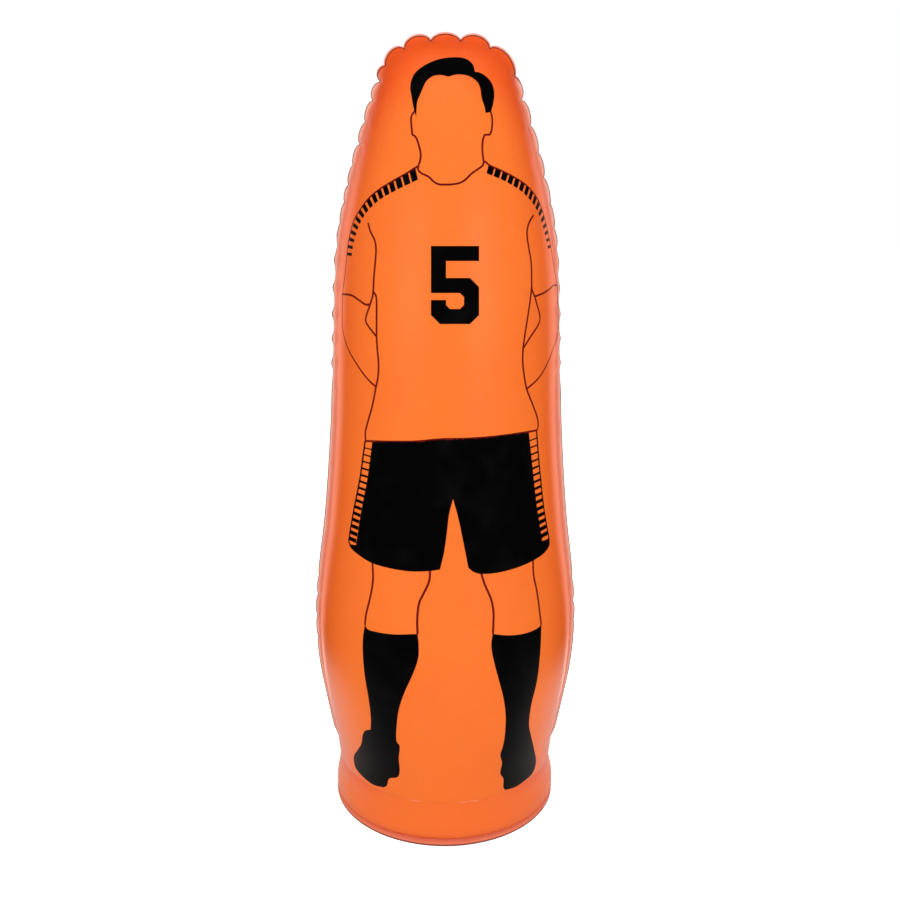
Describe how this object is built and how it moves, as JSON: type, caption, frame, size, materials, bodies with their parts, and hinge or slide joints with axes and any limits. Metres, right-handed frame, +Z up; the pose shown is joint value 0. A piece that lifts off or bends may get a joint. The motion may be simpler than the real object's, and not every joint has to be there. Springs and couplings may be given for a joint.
{
  "type": "inflatable free kick mannequin",
  "caption": "Upright inflatable football wall dummy: puckered welded film body with a player print, on a round water filled foot, with screw valves at the back.",
  "frame": {"origin": "middle of the foot's underside, on the ground", "axes": "+Z up, -Y towards the printed front, +X to the viewer's right when facing the front"},
  "size_m": [0.6041, 0.6021, 1.75],
  "materials": {
    "body_film": "glossy orange PVC film, puckered along the weld, with a black screen print on the front",
    "foot_film": "glossy orange PVC film, slightly heavier",
    "valve_flange": "soft moulded PVC, semi-gloss",
    "valve_plastic": "off-white moulded plastic with grip ribs",
    "strap": "off-white flexible moulded strap",
    "seal": "black moulded rubber"
  },
  "bodies": {
    "dummy": {"front_panel": "body_film", "back_panel": "body_film", "divider": "foot_film", "foot_wall": "foot_film", "foot_bottom": "foot_film", "air_valve_base": "valve_flange", "filler_base": "valve_flange"},
    "valve_seal": {"air_valve_seal": "seal"},
    "valve_insert": {"air_valve_insert": "valve_plastic"},
    "valve_flap": {"air_valve_flap": "seal"},
    "cap_washer": {"air_cap_washer": "seal", "air_cap_strap": "strap"},
    "valve_cap": {"air_cap": "valve_plastic"},
    "filler_seal": {"filler_washer": "seal", "filler_strap": "strap"},
    "filler_lid": {"filler_cap": "valve_plastic"}
  },
  "joints": [
    {"name": "insert_lift", "type": "slide", "parent": "dummy", "child": "valve_seal", "axis": [0, 1, 0], "range_m": [0, 0.016]},
    {"name": "insert_turn", "type": "hinge", "parent": "valve_seal", "child": "valve_insert", "pos_m": [0, 0.2986, 0.452], "axis": [0, 1, 0], "range_deg": [0, 540]},
    {"name": "flap_open", "type": "slide", "parent": "valve_insert", "child": "valve_flap", "axis": [0, -1, 0], "range_m": [0, 0.002], "stiffness_N_per_m": 12},
    {"name": "air_cap_lift", "type": "slide", "parent": "valve_insert", "child": "cap_washer", "axis": [0, 1, 0], "range_m": [0, 0.01]},
    {"name": "air_cap_turn", "type": "hinge", "parent": "cap_washer", "child": "valve_cap", "pos_m": [0, 0.31, 0.452], "axis": [0, 1, 0], "range_deg": [0, 720]},
    {"name": "filler_lift", "type": "slide", "parent": "dummy", "child": "filler_seal", "axis": [0, 1, 0], "range_m": [0, 0.018]},
    {"name": "filler_turn", "type": "hinge", "parent": "filler_seal", "child": "filler_lid", "pos_m": [0, 0.275, 0.061], "axis": [0, 1, 0], "range_deg": [0, 540]}
  ],
  "couplings": [
    {"joint": "insert_turn", "follows": "insert_lift", "rad_per_m": 589},
    {"joint": "air_cap_turn", "follows": "air_cap_lift", "rad_per_m": 1256},
    {"joint": "filler_turn", "follows": "filler_lift", "rad_per_m": 523}
  ]
}
